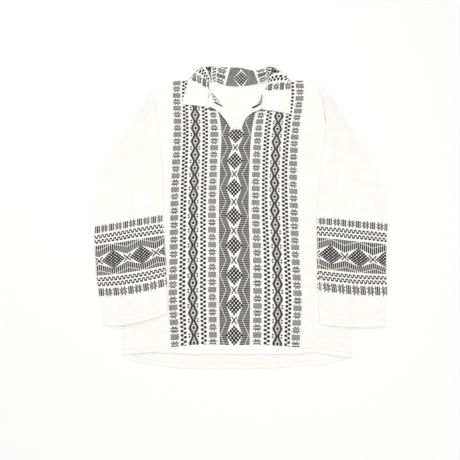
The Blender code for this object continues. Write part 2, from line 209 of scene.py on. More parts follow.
def makeRibbons(name, paths, material):
    # A thread on each path (points, width in mm): edge, raised middle and edge, narrow at both ends
    verts = []
    quads = []
    uvs = []
    start = 0
    for points, width in paths:
        points = np.asarray(points, float)
        way = np.gradient(points, axis=0)
        way = way / np.maximum(np.linalg.norm(way, axis=1, keepdims=True), 1e-9)
        side = np.column_stack([-way[:, 1], way[:, 0], np.zeros(len(points))])
        size = np.full(len(points), width)
        size[[0, -1]] = ribbon["tip"] * width
        for share in (-0.5, 0.0, 0.5):
            rise = size * ribbon["crown" if share == 0.0 else "edge"]
            verts.append(points + side * (share * size)[:, None] + np.outer(rise, (0.0, 0.0, 1.0)))
            uvs.append(listed(lengthsAlong(points), share) * mm)
        ids = numbered((3, len(points)), start)
        start += ids.size
        quads.append(gridFaces(ids))
    made = makeObject(name, np.concatenate(verts), np.concatenate(quads), material, np.concatenate(uvs))
    print(name, len(paths), "threads", 2 * sum(len(q) for q in quads), "triangles")
    return made


def stitchesOn(points, length, gap, width):  # short threads in a row along a line of points
    far = lengthsAlong(points)
    starts = np.arange(gap, far[-1] - length, length + gap)
    paths = []
    for start in starts:
        spots = start + length * np.array([0.0, 0.2, 0.5, 0.8, 1.0])
        path = np.column_stack([np.interp(spots, far, points[:, i]) for i in range(3)])
        paths.append((path, width))
    return paths


# Colours and materials

def toLinear(hexText):
    values = [int(hexText[i:i + 2], 16) / 255.0 for i in (1, 3, 5)]
    return [v / 12.92 if v <= 0.04045 else ((v + 0.055) / 1.055) ** 2.4 for v in values] + [1.0]


def addNode(tree, kind, settings=None, inputs=None):
    node = tree.nodes.new("ShaderNode" + kind)
    for key, value in (settings or {}).items():
        setattr(node, key, value)
    for key, value in (inputs or {}).items():
        if isinstance(value, bpy.types.NodeSocket):
            tree.links.new(value, node.inputs[key])
        else:
            node.inputs[key].default_value = value
    return node


def startMaterial(name, surface):
    material = bpy.data.materials.new(name)
    material.use_nodes = True
    shader = material.node_tree.nodes["Principled BSDF"]
    for key, value in surface.items():
        shader.inputs[key].default_value = value
    return material, material.node_tree, shader


def finishFabric(tree, shader, colours, share, bump):  # from the first colour to the second
    first, second = [toLinear(colour) for colour in colours]
    tint = addNode(tree, "Mix", {"data_type": "RGBA"}, {0: share.outputs[0], 6: first, 7: second})
    tree.links.new(tint.outputs[2], shader.inputs["Base Color"])
    tree.links.new(bump.outputs[0], shader.inputs["Normal"])


handloomCotton = {
    "surface": {"Roughness": 0.92, "Sheen Weight": 0.12, "Sheen Roughness": 0.5,
                "Specular IOR Level": 0.25},
    "colours": ("#FFFEFB", "#FDFAF1"),  # bleached yarn, and its own cream in soft patches
    "patch": 38.0,  # mm across a patch
    "cream": (0.45, 0.75),  # noise at which the cream starts, and where it is full
    "yarn": 1.0,  # mm from yarn to yarn, drawn a little coarser than the real 0.6
    "slub": 9.0,  # mm along a thick place in a yarn
    "slubHeight": 1.6,  # beside the weave's own height
    "relief": 0.00022,  # metres
    "strength": 0.55,
}


def makeCotton(name, look):
    # Plain-woven handloom cotton: matt, slightly uneven yarns that cross like a basket
    material, tree, shader = startMaterial(name, look["surface"])
    uv = addNode(tree, "UVMap", {"uv_map": "weave"}).outputs["UV"]
    parts = addNode(tree, "SeparateXYZ", inputs={0: uv})
    yarns = []
    for axis in ("X", "Y"):
        turned = addNode(tree, "Math", {"operation": "MULTIPLY"},
                         {0: parts.outputs[axis], 1: math.pi / (look["yarn"] * mm)})
        yarns.append(addNode(tree, "Math", {"operation": "SINE"}, {0: turned.outputs[0]}).outputs[0])
    woven = addNode(tree, "Math", {"operation": "MULTIPLY"}, {0: yarns[0], 1: yarns[1]})
    slub = addNode(tree, "TexNoise", inputs={
        "Vector": uv, "Scale": 1.0 / (look["slub"] * mm), "Detail": 4.0, "Roughness": 0.7})
    height = addNode(tree, "Math", {"operation": "MULTIPLY_ADD"},
                     {0: slub.outputs[0], 1: look["slubHeight"], 2: woven.outputs[0]})
    bump = addNode(tree, "Bump", inputs={
        "Strength": look["strength"], "Distance": look["relief"], "Height": height.outputs[0]})
    patch = addNode(tree, "TexNoise", inputs={
        "Vector": uv, "Scale": 1.0 / (look["patch"] * mm), "Detail": 3.0})
    spread = addNode(tree, "MapRange", inputs={
        "Value": patch.outputs[0], "From Min": look["cream"][0], "From Max": look["cream"][1]})
    finishFabric(tree, shader, look["colours"], spread, bump)
    return material


brocadeYarn = {
    "colours": ("#121214", "#56555B"),  # black mill-dyed cotton, and a grey painted on each thread's crown as a highlight, broken up by its twist and tufts of fibre
    "ply": 2.4,  # mm from twist to twist
}
sewingYarn = {
    "colours": ("#EFE9DA", "#FBF7EC"),  # unbleached cotton, a little darker than the cloth, and a lighter cream painted on each thread's crown as a highlight
    "ply": 0.9,
}
yarnLook = {
    "surface": {"Roughness": 0.88, "Sheen Weight": 0.04, "Sheen Roughness": 0.4,
                "Specular IOR Level": 0.2},
    "twist": 0.45,  # waves of the twist in one ply
    "fuzz": 260.0,  # tufts of loose fibre in a metre
    "highlightAndFuzz": 1.9,  # how far the second colour, a painted highlight, spreads over a crown
    "relief": 0.0002,  # metres
    "strength": 0.7,
}


def makeYarn(name, look):
    # Soft two-ply cotton yarn: matt, with fine slanting twists and a highlight painted along each thread's
    # crown
    material, tree, shader = startMaterial(name, yarnLook["surface"])
    uv = addNode(tree, "UVMap", {"uv_map": "weave"}).outputs["UV"]
    parts = addNode(tree, "SeparateXYZ", inputs={0: uv})
    # across: one wave a thread, 1 on its crown and 0 between two threads, the mask for the highlight
    # painted on each crown
    turned = addNode(tree, "Math", {"operation": "MULTIPLY"}, {0: parts.outputs["Y"], 1: 2 * math.pi / mm})
    wave = addNode(tree, "Math", {"operation": "COSINE"}, {0: turned.outputs[0]})
    crown = addNode(tree, "MapRange", inputs={"Value": wave.outputs[0], "From Min": -1.0, "From Max": 1.0})
    twist = addNode(tree, "TexWave", {"bands_direction": "DIAGONAL"}, {
        "Vector": uv, "Scale": yarnLook["twist"] / (look["ply"] * mm), "Distortion": 1.5, "Detail": 1.0})
    bump = addNode(tree, "Bump", inputs={
        "Strength": yarnLook["strength"], "Distance": yarnLook["relief"], "Height": twist.outputs[1]})
    fuzz = addNode(tree, "TexNoise", inputs={"Vector": uv, "Scale": yarnLook["fuzz"], "Detail": 3.0})
    # the second colour, a painted highlight mixed with tufts of fibre, shows where crown, twist and fuzz
    # are all high
    highlightAndFuzz = crown
    for other in (twist.outputs[1], fuzz.outputs[0], yarnLook["highlightAndFuzz"]):
        highlightAndFuzz = addNode(tree, "Math", {"operation": "MULTIPLY"}, {0: highlightAndFuzz.outputs[0], 1: other})
    highlightAndFuzz.use_clamp = True
    finishFabric(tree, shader, look["colours"], highlightAndFuzz, bump)
    return material


cotton = makeCotton("handloomCotton", handloomCotton)
blackYarn = makeYarn("blackCottonYarn", brocadeYarn)
creamThread = makeYarn("creamSewingThread", sewingYarn)
print("materials made")


# The body's outline, from part to part the same as the sewn pieces

body = {
    "backWall": 1.2,
    "frontWall": 1.2,
    "seamGap": 0.3,
    "layGap": 0.5,
    "shoulderTop": 424.0,
    "slitBottom": 277.0,
    "slitMiddle": 17.5,
    # height of the side edge, and its places on the left and on the right
    "sides": [(-320, -257, 291), (-244, -257, 288), (-120, -254, 284), (0, -249, 279),
              (100, -243, 273), (200, -236, 266), (300, -228, 258), (388, -219, 252)],
    "shoulder": {
        "left": [(-219, 388), (-206, 400), (-193, 407), (-179, 414),
                 (-160, 421), (-138, 424), (-100, 424), (-62, 424)],
        "right": [(252, 402), (242, 409), (226, 418), (207, 423),
                  (190, 424), (170, 424), (138, 424), (106, 424)],
    },
    "backNeck": [(-62, 424), (-44, 422), (-22, 413), (-6, 410), (28, 409),
                 (50, 411), (72, 415), (88, 419), (106, 424)],
    "frontHem": [(-258, -305), (-239, -304), (-189, -300), (-143, -302), (-72, -305), (24, -305),
                 (119, -305), (167, -304), (196, -300), (227, -304), (261, -310), (290, -312)],
    "backHem": [(-257, -308), (-231, -321), (-190, -330), (-119, -337), (-71, -338), (24, -338),
                (95, -337), (166, -333), (214, -330), (238, -326), (262, -320), (290, -314)],
    # cut edge of the neck slit (x, y) and outer edge of the strip turned out on it (x, y)
    "slit": {
        "left": [(-58, 424, -62, 424), (-55, 410, -59, 409), (-50, 396, -53, 393.5),
                 (-47, 385, -55, 382), (-40, 374, -57, 370), (-33, 364, -58.5, 357),
                 (-25, 354, -59, 346), (-18, 344, -46, 340), (-11, 331, -33, 331),
                 (-3, 316, -22, 319), (3, 301, -11, 304), (9, 288, -3, 290), (17.5, 277, 5, 277)],
        "right": [(102, 424, 106, 424), (98, 408, 102, 408), (92, 392, 96, 392),
                  (84, 373, 88, 371), (80, 364, 87, 361), (75, 355, 86.5, 350),
                  (66, 346, 86, 339), (55, 337, 74, 331), (47, 326, 60, 326),
                  (40, 314, 49, 317), (34, 302, 40, 306), (28, 289, 34, 291), (17.5, 277, 29, 277)],
    },
    # soft folds: from (x, y) to (x, y), height and width
    "folds": [(-132, 120, -128, -230, 1.5, 11), (158, 150, 160, -240, 1.6, 11),
              (-60, 60, -48, -180, 0.9, 24), (66, 90, 58, -120, 0.8, 24),
              (10, 200, 12, 40, 0.7, 26), (272, -262, 276, -330, 1.6, 7),
              (-232, -268, -230, -330, 1.2, 9), (-205, -262, -206, -330, 0.8, 9),
              (-166, 384, -150, 396, 1.0, 6)],
    "creases": [(-188, 392, -150, 352, 0.5, 5), (-205, 372, -182, 300, 0.5, 7),
                (205, 402, 182, 350, 0.5, 6), (232, 380, 214, 300, 0.5, 7),
                (-118, 300, -108, 180, 0.4, 8), (128, 290, 118, 190, 0.4, 8),
                (-20, 262, -70, 232, 0.4, 7), (52, 262, 96, 236, 0.4, 7),
                (-150, -60, -142, -260, 0.5, 8), (190, -20, 196, -220, 0.5, 9),
                (20, -120, 30, -260, 0.35, 12), (-90, -200, -84, -290, 0.4, 9),
                (96, -190, 104, -290, 0.4, 9), (220, 200, 206, 90, 0.5, 9),
                (-209, 372, -166, 414, -0.8, 3.5), (249, 384, 222, 416, -0.8, 3.5),
                (-180, -296, -128, -318, 0.5, 6), (232, -270, 236, -312, 0.6, 6)],
    "ripples": [(95.0, 0.35, 0.0), (31.0, 0.12, 0.8)],  # length, height and turn
    "fineLift": 0.3,  # keeps the ripples' hollows above the flat cloth
    "hemLift": 1.3,
    "hemWave": 0.7,
    "hemWaveLength": 118.0,
    "hemFade": 22.0,
    "edgeFade": 14.0,
    "archFade": 1.5,  # power with which the shoulder's arch dies out down the rows
    "spacing": 3.3,  # mm between the front's points
    "halfWidth": 270.0,
    "fall": 580.0,  # mm from the slit's lower end to the front hem
    "stripColumns": 8,  # columns between a strip's outer edge and the slit
    "backLength": 750.0,
    "backSpacing": 5.0,
    "backColumns": 120,
}


hem = {
    "depth": 13.0,  # mm turned up
    "rise": 0.4,  # mm thicker where the cloth is double
    "groove": 0.25,  # mm that the stitches pull it down
    "seam": 2.2,  # mm from the stitches to the upper edge of the turned cloth
    "slope": 1.5,  # mm over which the double cloth ends
    "pull": 0.9,  # mm to each side that the stitches pull down
    "close": (5.0, 25),  # mm above the hem from which rows lie close, and their number
}


def hemRise(away):  # extra height this far from a hemmed edge: a band, with a groove at its seam
    band = hem["rise"] * (1 - ease((away - hem["depth"]) / hem["slope"]))
    seam = (away - hem["depth"] + hem["seam"]) / hem["pull"]
    return band - hem["groove"] * np.exp(-(seam ** 2))


def sideX(y, side):
    table = np.array(body["sides"], float)
    return np.interp(y, table[:, 0], table[:, 1 if side == "left" else 2])


def slitX(y, side, edge):  # x of the slit's cut edge (0) or of its strip's outer edge (2)
    table = np.array(body["slit"][side], float)[::-1]
    return np.interp(y, table[:, edge + 1], table[:, edge])


def frontHemY(x):
    left = body["frontHem"][0][0]
    right = body["frontHem"][-1][0]
    return alongLine(body["frontHem"], (x - left) / (right - left))[1]


def frontTop(x, y, fine=True):
    # Height of the front: flat at its side edges, plus folds, a lifted hem and small creases
    lift = body["hemLift"] + body["hemWave"] * np.sin(2 * math.pi * x / body["hemWaveLength"])
    lift = lift * np.exp(-np.maximum(0.0, y - frontHemY(x)) / body["hemFade"])
    edge = np.minimum(x - sideX(y, "left"), sideX(y, "right") - x)
    folds = foldHeight(body["folds"], x, y)
    if fine:
        folds = folds + foldHeight(body["creases"], x, y) + rippleHeight(body["ripples"], x, y)
        folds = folds + body["fineLift"] + hemRise(y - frontHemY(x))
    base = body["backWall"] + body["seamGap"] + body["frontWall"]
    return base + (lift + folds) * ease(edge / body["edgeFade"])


def towardsHem(length, spacing):  # shares of a length, with close rows over the hem at its end
    above, rows = hem["close"]
    start = 1 - (hem["depth"] + above) / length
    coarse = np.linspace(0, start, int(start * length / spacing) + 1)
    return np.concatenate([coarse, np.linspace(start, 1, rows)[1:]])


def frontHalf(side):
    # One side of the front, in rows from the shoulder to the hem, each from side edge to middle
    slit = body["slit"][side]
    shoulder = body["shoulder"][side]
    topRows = int((body["shoulderTop"] - body["slitBottom"]) / body["spacing"])
    columns = int(body["halfWidth"] / body["spacing"])
    share = np.linspace(0, 1, topRows + 1)[:, None]
    edgeX, edgeY, stripX, stripY = columnsAt(slit, share * (len(slit) - 1))
    y0 = mix(shoulder[0][1], body["slitBottom"], share)
    across = np.linspace(0, 1, columns + 1)[None, :]
    archX, archY = alongLine(shoulder, across)
    baseX = mix(shoulder[0][0], shoulder[-1][0], across)
    baseY = mix(shoulder[0][1], shoulder[-1][1], across)
    fade = (1.0 - share) ** body["archFade"]
    x = mix(sideX(y0, side), stripX, across) + (archX - baseX) * fade
    y = mix(y0, stripY, across) + (archY - baseY) * fade
    part = np.linspace(0, 1, body["stripColumns"] + 1)[None, 1:]
    x = np.hstack([x, mix(stripX, edgeX, part)])
    y = np.hstack([y, mix(stripY, edgeY, part)])
    shares = (x[-1] - x[-1, 0]) / (x[-1, -1] - x[-1, 0])
    hemY = body["frontHem"][0 if side == "left" else -1][1]
    fall = towardsHem(body["fall"], body["spacing"])[1:, None]
    sideY = mix(body["slitBottom"], hemY, fall)
    lowX = mix(sideX(sideY, side), body["slitMiddle"], shares[None, :])
    lowY = mix(body["slitBottom"], frontHemY(lowX), fall)
    return np.vstack([x, lowX]), np.vstack([y, lowY]), topRows


def makeFront():  # the two sides, joined below the slit
    leftX, leftY, topRows = frontHalf("left")
    rightX, rightY, _ = frontHalf("right")
    left = numbered(leftX.shape)
    right = numbered(rightX.shape, left.size)
    right[topRows:, -1] = left[topRows:, -1]
    flat = np.concatenate([listed(leftX, leftY), listed(rightX, rightY)])
    x, y = flat.T
    verts = np.column_stack([flat, frontTop(x, y)])
    quads = np.concatenate([gridFaces(left[::-1]), gridFaces(right[::-1, ::-1])])
    wall = body["frontWall"] + np.maximum(0.0, hemRise(y - frontHemY(x)))
    return makeShell("front_cloth", verts, quads, wall, cotton, flat * mm)


def makeBack():
    # Flat on the table, in rows from the hem up to the shoulders and the neck
    upper = body["shoulder"]["left"][:-1] + body["backNeck"] + body["shoulder"]["right"][::-1][1:]
    share = 1 - towardsHem(body["backLength"], body["backSpacing"])[::-1, None]
    across = np.linspace(0, 1, body["backColumns"] + 1)[None, :]
    lowX, lowY = alongLine(body["backHem"], across)
    highX, highY = alongLine(upper, across)
    y = mix(lowY, highY, share)
    ends = mix(sideX(y, "left"), sideX(y, "right"), across)
    pull = ease(share) * np.sin(math.pi * across)
    x = mix(ends, mix(lowX, highX, share), pull)
    x[0] = lowX
    x[-1] = highX
    flat = listed(x, y)
    wall = body["backWall"] + hemRise(y - lowY).ravel()
    verts = np.column_stack([flat, wall])
    return makeShell("back_cloth", verts, gridFaces(numbered(x.shape)), wall, cotton, flat * mm)


frontCloth = makeFront()
backCloth = makeBack()
print("body made")


# Brocade: where black thread lies on the face, a in mm along the thread and b in mm across it

bodyWeave = {
    "step": 37.6,  # mm from star to star
    "picks": 42,  # threads in that step
    "reach": 164.0,  # mm from the middle to the brocade's side edges
    "rows": (-1.3, 18.1),  # steps from the first star to the upper and to the lower end
    "middlePart": 68.0,  # mm from the middle to where the piece of threads is split
    "lines": "111010",  # threads from line to line, 1 is on the face
    "stars": [-153.0, -56.6, 56.6, 153.0],  # mm from the middle to each column, as for waves and chains
    "bar": "101010101010101",  # threads of a bar
    "barLength": 10.5,
    "star": (0.93, 1.03),  # how much narrower and shorter than the drawn star
    "waves": [-131.0, -80.0, 80.0, 131.0],
    "dot": (3.65, 3.65),  # mm from a dot's middle to its edge on the left and right rows
    "hook": 0.45,  # mm that a hook is thick above its middle
    "chains": [-105.5, 105.5],
    "field": 38.7,  # mm from the middle to the field's edge
    "fieldInner": (20.9, 6.9),  # mm from the middle, at a diamond and at a cross
    "chevron": (36.2, 20.6),  # the same for the zigzag of light
    "cells": 4,  # from a diamond's middle to its corner
    "cell": (4.7, 5.5),
    "box": (0.32, 0.35),  # half of a white square, as a share of the cell
    "narrow": 1.0,  # share of a step over which the field closes in from a diamond to a cross
    "swing": 4.1,  # mm from a row of dots to the middle of its pair
    "cross": (7.0, 9.8),  # reach of its arms
    "firstDiamond": 3.5,  # in steps from the first star
}
sleeveWeave = {
    "step": 36.25,
    "picks": 42,
    "reach": 92.0,
    "lines": "111100",
    "stars": [-81.0, 81.0],
    "bar": "11100111100111",
    "barLength": 9.2,
    "star": (0.98, 0.98),
    "waves": [-61.5, -49.0, 49.0, 61.5],
    "dot": (1.9, 2.2),
    "hook": 1.0,
    "chains": [],
    "field": 38.5,
    "fieldInner": (23.7, 9.3),
    "chevron": (37.6, 26.0),
    "cells": 6,
    "cell": (3.7, 4.6),
    "box": (0.28, 0.32),
    "narrow": 1.0,
    "swing": 3.1,
    "cross": (9.6, 10.0),
    "firstDiamond": 0.5,
}


# mm, and the same on every piece: the forms that a motif is drawn with
motifs = {
    # a petal, folded into one eighth: range from its axis, and from the diagonal
    "petal": ((0.15, 5.2), (0.4, 5.8)),
    "starSkip": 4,  # one thread in so many stays under the cloth
    "dotHeight": 3.35,
    "hookBelow": 0.5,
    # a chain: middle to strand at a link's middle and where strands cross, then half a strand's
    # core, and half its width with the fringe of every second thread
    "strand": (9.5, 1.9, 1.8, 3.9),
    "linkDot": (3.4, 4.1),
    "ring": (5.6, 8.2, 0.16),  # half sizes, and the share of them that is drawn
    "sideDot": (11.0, 2.3, 2.8, 1.9),  # place and half size across, then along
    "zigzag": 0.7,  # half of the light line
    "arm": 1.35,  # half of a cross's arm
}


def nearest(b, pitch, shift=0.0):  # distance to the nearest whole number of pitches, with a sign
    return b - (np.round(b / pitch - shift) + shift) * pitch


def inOval(a, b, size):
    return (a / size[0]) ** 2 + (b / size[1]) ** 2 < 1.0


def starMotif(a, b, look, pick):  # eight petals: folded into one eighth, each is a slanted square
    wide = np.abs(a) * look["star"][0]
    high = np.abs(b) * look["star"][1]
    small = np.minimum(wide, high)
    slant = np.maximum(wide, high) - small
    (smallLow, smallHigh), (slantLow, slantHigh) = motifs["petal"]
    petal = (small > smallLow) & (small < smallHigh) & (slant > slantLow) & (slant < slantHigh)
    return petal & (pick % motifs["starSkip"] != 1)


def waveMotif(a, b, pitch, look):  # two staggered rows of dots joined by thin hooks
    swing = look["swing"]
    dots = inOval(a + swing, nearest(b, pitch), (look["dot"][0], motifs["dotHeight"]))
    dots |= inOval(a - swing, nearest(b, pitch, 0.5), (look["dot"][1], motifs["dotHeight"]))
    turn = nearest(b - pitch / 4.0, pitch / 2.0)
    hook = (turn > -motifs["hookBelow"]) & (turn < look["hook"])
    return dots | (hook & (np.abs(a) < swing))


def chainMotif(a, b, step, pick):  # two strands that cross half-way between links, dot inside
    inLink = nearest(b, step)
    near = np.abs(inLink) / step * 2.0
    bend = 0.55 * near + 0.45 * (0.5 - 0.5 * np.cos(math.pi * near))
    wide, narrow, core, fringe = motifs["strand"]
    away = np.abs(np.abs(a) - mix(wide, narrow, bend))
    second = pick % 2 == 0
    ringWide, ringHigh, ringShare = motifs["ring"]
    ring = np.abs(np.hypot(a / ringWide, inLink / ringHigh) - 1.0) < ringShare
    sideAt, sideWide, sideAlong, sideHigh = motifs["sideDot"]
    side = np.abs(np.abs(a) - sideAt) < sideWide
    side &= np.abs(step / 2.0 - np.abs(inLink) - sideAlong) < sideHigh
    strand = (away < core) | ((away < fringe) & second)
    return strand | inOval(a, inLink, motifs["linkDot"]) | (ring & second) | side


def fieldMotif(a, b, look, pick):  # lines outside a zigzag, checkered diamonds and crosses within
    fromDiamond = nearest(b - look["firstDiamond"] * look["step"], 2.0 * look["step"])
    near = np.abs(fromDiamond) / look["step"]
    inner = mix(*look["fieldInner"], np.minimum(1.0, near / look["narrow"]))
    wide = np.abs(a)
    marks = np.array([mark == "1" for mark in look["lines"]])
    fromLine = pick - round(look["firstDiamond"] * look["picks"]) + look["lines"].index("0") // 2
    lines = (wide > inner) & (wide < look["field"]) & marks[fromLine % len(marks)]
    lines &= np.abs(wide - mix(*look["chevron"], near)) > motifs["zigzag"]
    cellA = a / look["cell"][0]
    cellB = fromDiamond / look["cell"][1]
    i = np.round(cellA)
    j = np.round(cellB)
    light = (np.abs(cellA - i) < look["box"][0]) & (np.abs(cellB - j) < look["box"][1])
    checker = (np.abs(i) + np.abs(j) <= look["cells"]) & ~(light & ((i + j) % 2 == 1))
    armA, armB = look["cross"]
    fromCross = np.abs(look["step"] - np.abs(fromDiamond))
    arm = np.abs(wide * armB - fromCross * armA) / math.hypot(armA, armB) < motifs["arm"]
    return lines | checker | (arm & (wide < armA) & (fromCross < armB))


def brocade(a, b, look, pick):
    step = look["step"]
    face = fieldMotif(a, b, look, pick)
    bar = np.array([mark == "1" for mark in look["bar"]])
    inBar = (pick - look["picks"] // 2 + len(bar) // 2) % look["picks"]
    barHere = (inBar < len(bar)) & bar[np.minimum(inBar, len(bar) - 1)]
    for middle in look["stars"]:
        face |= starMotif(a - middle, nearest(b, step), look, pick)
        face |= barHere & (np.abs(a - middle) < look["barLength"])
    for middle in look["waves"]:
        face |= waveMotif(a - middle, b, 2.0 * step / 7.0, look)
    for middle in look["chains"]:
        face |= chainMotif(a - middle, b, step, pick)
    return face


thread = {
    "width": 1.3,  # share of the distance from thread to thread, as soft yarn spreads
    "edge": 0.12,  # mm above the cloth
    "crown": 0.42,
    "segment": 7.0,  # mm between its points
    "cap": 0.25,  # mm that each end takes to dip into the cloth
    "capSize": (0.6, 0.2),  # shares of its width and of its edge's height that are left at an end
    "sample": 0.4,
    "shortest": 0.7,
}


def threadRuns(look, firstB, lastB, keep=None):
    # Every stretch of thread on the face: its two ends a0 and a1, its place b, and the pitch
    pitch = look["step"] / look["picks"]
    pick = np.arange(math.ceil(firstB / pitch), math.floor(lastB / pitch) + 1)[:, None]
    a, b = np.broadcast_arrays(np.arange(-look["reach"], look["reach"], thread["sample"]), pick * pitch)
    face = brocade(a, b, look, pick)
    if keep:
        face &= keep(a, b)
    change = np.diff(np.pad(face, ((0, 0), (1, 1))).astype(np.int8), axis=1)
    rows, starts = np.nonzero(change == 1)
    ends = np.nonzero(change == -1)[1]
    a0 = (starts - 0.5) * thread["sample"] - look["reach"]
    a1 = (ends - 0.5) * thread["sample"] - look["reach"]
    long = a1 - a0 > thread["shortest"]
    return a0[long], a1[long], (pick[rows, 0] * pitch)[long], pitch


def layThreads(name, runs, place, material):
    # Each run is a ribbon of three points across: edge, raised crown, edge, tucked in at its ends
    a0, a1, b, pitch = runs
    cap = thread["cap"]
    capWidth, capEdge = thread["capSize"]
    segments = np.maximum(1, np.round((a1 - a0 - 2 * cap) / thread["segment"]).astype(int))
    side = np.array([-0.5, 0.0, 0.5])
    verts = []
    uvs = []
    quads = []
    start = 0
    for count in np.unique(segments):
        chosen = segments == count
        first = a0[chosen, None]
        last = a1[chosen, None]
        middle = b[chosen, None, None]
        inner = mix(first + cap, last - cap, np.linspace(0, 1, count + 1)[None, :])
        up = np.pad(np.ones(count + 1), 1)[None, :, None]
        crown = mix(thread["edge"], thread["crown"], up)
        a, across, lift = np.broadcast_arrays(
            np.hstack([first, inner, last])[:, :, None],
            middle + side * pitch * thread["width"] * mix(capWidth, 1.0, up),
            np.where(side == 0.0, crown, thread["edge"] * mix(capEdge, 1.0, up)))
        points, normals = place(a, across)
        verts.append((points + normals * lift[..., None]).reshape(-1, 3))
        uvs.append(listed(a, middle / pitch + side) * mm)
        ids = numbered(a.shape, start)
        start += ids.size
        corners = [ids[:, :-1, :-1], ids[:, 1:, :-1], ids[:, 1:, 1:], ids[:, :-1, 1:]]
        quads.append(listed(*corners))
    verts = np.concatenate(verts)
    quads = np.concatenate(quads)
    a, b, d = verts[quads[:, 0]], verts[quads[:, 1]], verts[quads[:, 3]]
    if np.median(np.cross(b - a, d - a)[:, 2]) < 0:
        quads = quads[:, ::-1]
    made = makeObject(name, verts, quads, material, np.concatenate(uvs))
    print(name, len(a0), "runs", 2 * len(quads), "triangles")
    return made


# How far the weave is pulled from straight, at every third star down and at nine columns
frontPull = {
    "firstStar": 345.0,
    "middle": 11.0,
    "columns": [-153.0, -105.5, -56.6, -38.4, 0.0, 38.4, 56.6, 105.5, 153.0],
    "rows": [0, 3, 6, 9, 12, 15, 18],
    "x": [(-4.8, -4.0, -4.0, -17.0, 6.0, 33.0, 26.0, 24.0, 28.3),
          (0.7, 2.1, 3.2, 3.8, 5.0, 10.0, 9.2, 11.0, 11.4),
          (-0.6, 1.8, 1.5, 1.3, 0.8, 1.3, 1.5, 1.1, 1.5),
          (-1.0, 0.1, -0.7, -0.9, -1.2, -1.5, -1.6, -1.5, 0.4),
          (0.5, 2.0, 0.8, 0.2, -1.2, 0.0, 0.6, 1.2, -0.2),
          (2.0, 3.2, 2.1, 1.1, -1.0, -0.3, 0.1, 1.0, 1.7),
          (10.1, 8.3, 4.8, 2.9, -1.2, -2.3, -2.8, -2.6, -7.0)],
    "y": [(51.5, 50.0, 50.0, 48.7, 46.0, 46.7, 47.0, 43.0, 42.1),
          (48.8, 48.3, 48.8, 48.3, 47.4, 48.3, 48.8, 45.6, 40.7),
          (44.6, 47.1, 47.4, 47.9, 49.1, 48.2, 47.7, 43.5, 39.9),
          (43.0, 49.7, 50.3, 49.7, 48.3, 47.1, 46.5, 43.9, 38.3),
          (42.5, 47.5, 48.5, 47.9, 46.6, 46.5, 46.5, 44.0, 41.5),
          (41.4, 47.0, 49.0, 48.5, 47.4, 46.2, 45.6, 44.4, 39.5),
          (47.9, 52.6, 53.7, 53.0, 51.5, 53.0, 53.7, 50.2, 47.2)],
}


def pulled(a, b):  # table place of a point of the front's weave
    down = b / bodyWeave["step"] / frontPull["rows"][-1]
    last = len(frontPull["columns"]) - 1
    column = np.interp(a, frontPull["columns"], np.arange(last + 1))
    left = np.clip(column.astype(int), 0, last - 1)
    result = []
    for key in ("x", "y"):
        rows = curveRows(frontPull[key], down)
        first = np.take_along_axis(rows, left[..., None], -1)[..., 0]
        second = np.take_along_axis(rows, left[..., None] + 1, -1)[..., 0]
        result.append(mix(first, second, column - left))
    return frontPull["middle"] + a + result[0], frontPull["firstStar"] - b + result[1]


margin = {"edge": 2.0, "strip": 1.5, "slit": 1.0}  # mm from the threads to an edge of the cloth


def onFront(a, b):  # true where the front shows its face: inside its edges and outside the strips
    x, y = pulled(a, b)
    inside = (x > sideX(y, "left") + margin["edge"]) & (x < sideX(y, "right") - margin["edge"])
    for side in ("left", "right"):
        line = np.array(sorted(body["shoulder"][side]), float)
        near = (x >= line[0, 0]) & (x <= line[-1, 0])
        inside &= ~near | (y < np.interp(x, line[:, 0], line[:, 1]) - margin["edge"])
    between = (x > slitX(y, "left", 2) - margin["strip"]) & (x < slitX(y, "right", 2) + margin["strip"])
    return inside & ~(between & (y > body["slitBottom"] - margin["slit"]))


def placeOnFront(a, b):
    x, y = pulled(a, b)
    points = np.stack([x, y, frontTop(x, y)], axis=-1)
    return points, np.broadcast_to([0.0, 0.0, 1.0], points.shape)


firstRow, lastRow = bodyWeave["rows"]
frontRuns = threadRuns(bodyWeave, firstRow * bodyWeave["step"], lastRow * bodyWeave["step"], onFront)
middleRuns = np.abs(frontRuns[0] + frontRuns[1]) / 2 < bodyWeave["middlePart"]
frontBrocade = []
for name, chosen in (("brocade_front_middle", middleRuns), ("brocade_front_sides", ~middleRuns)):
    runs = [part[chosen] for part in frontRuns[:3]] + [frontRuns[3]]
    frontBrocade.append(layThreads(name, runs, placeOnFront, blackYarn))


# Sleeves: flattened tubes, each row is outer fold (x, y) and inner fold (x, y)

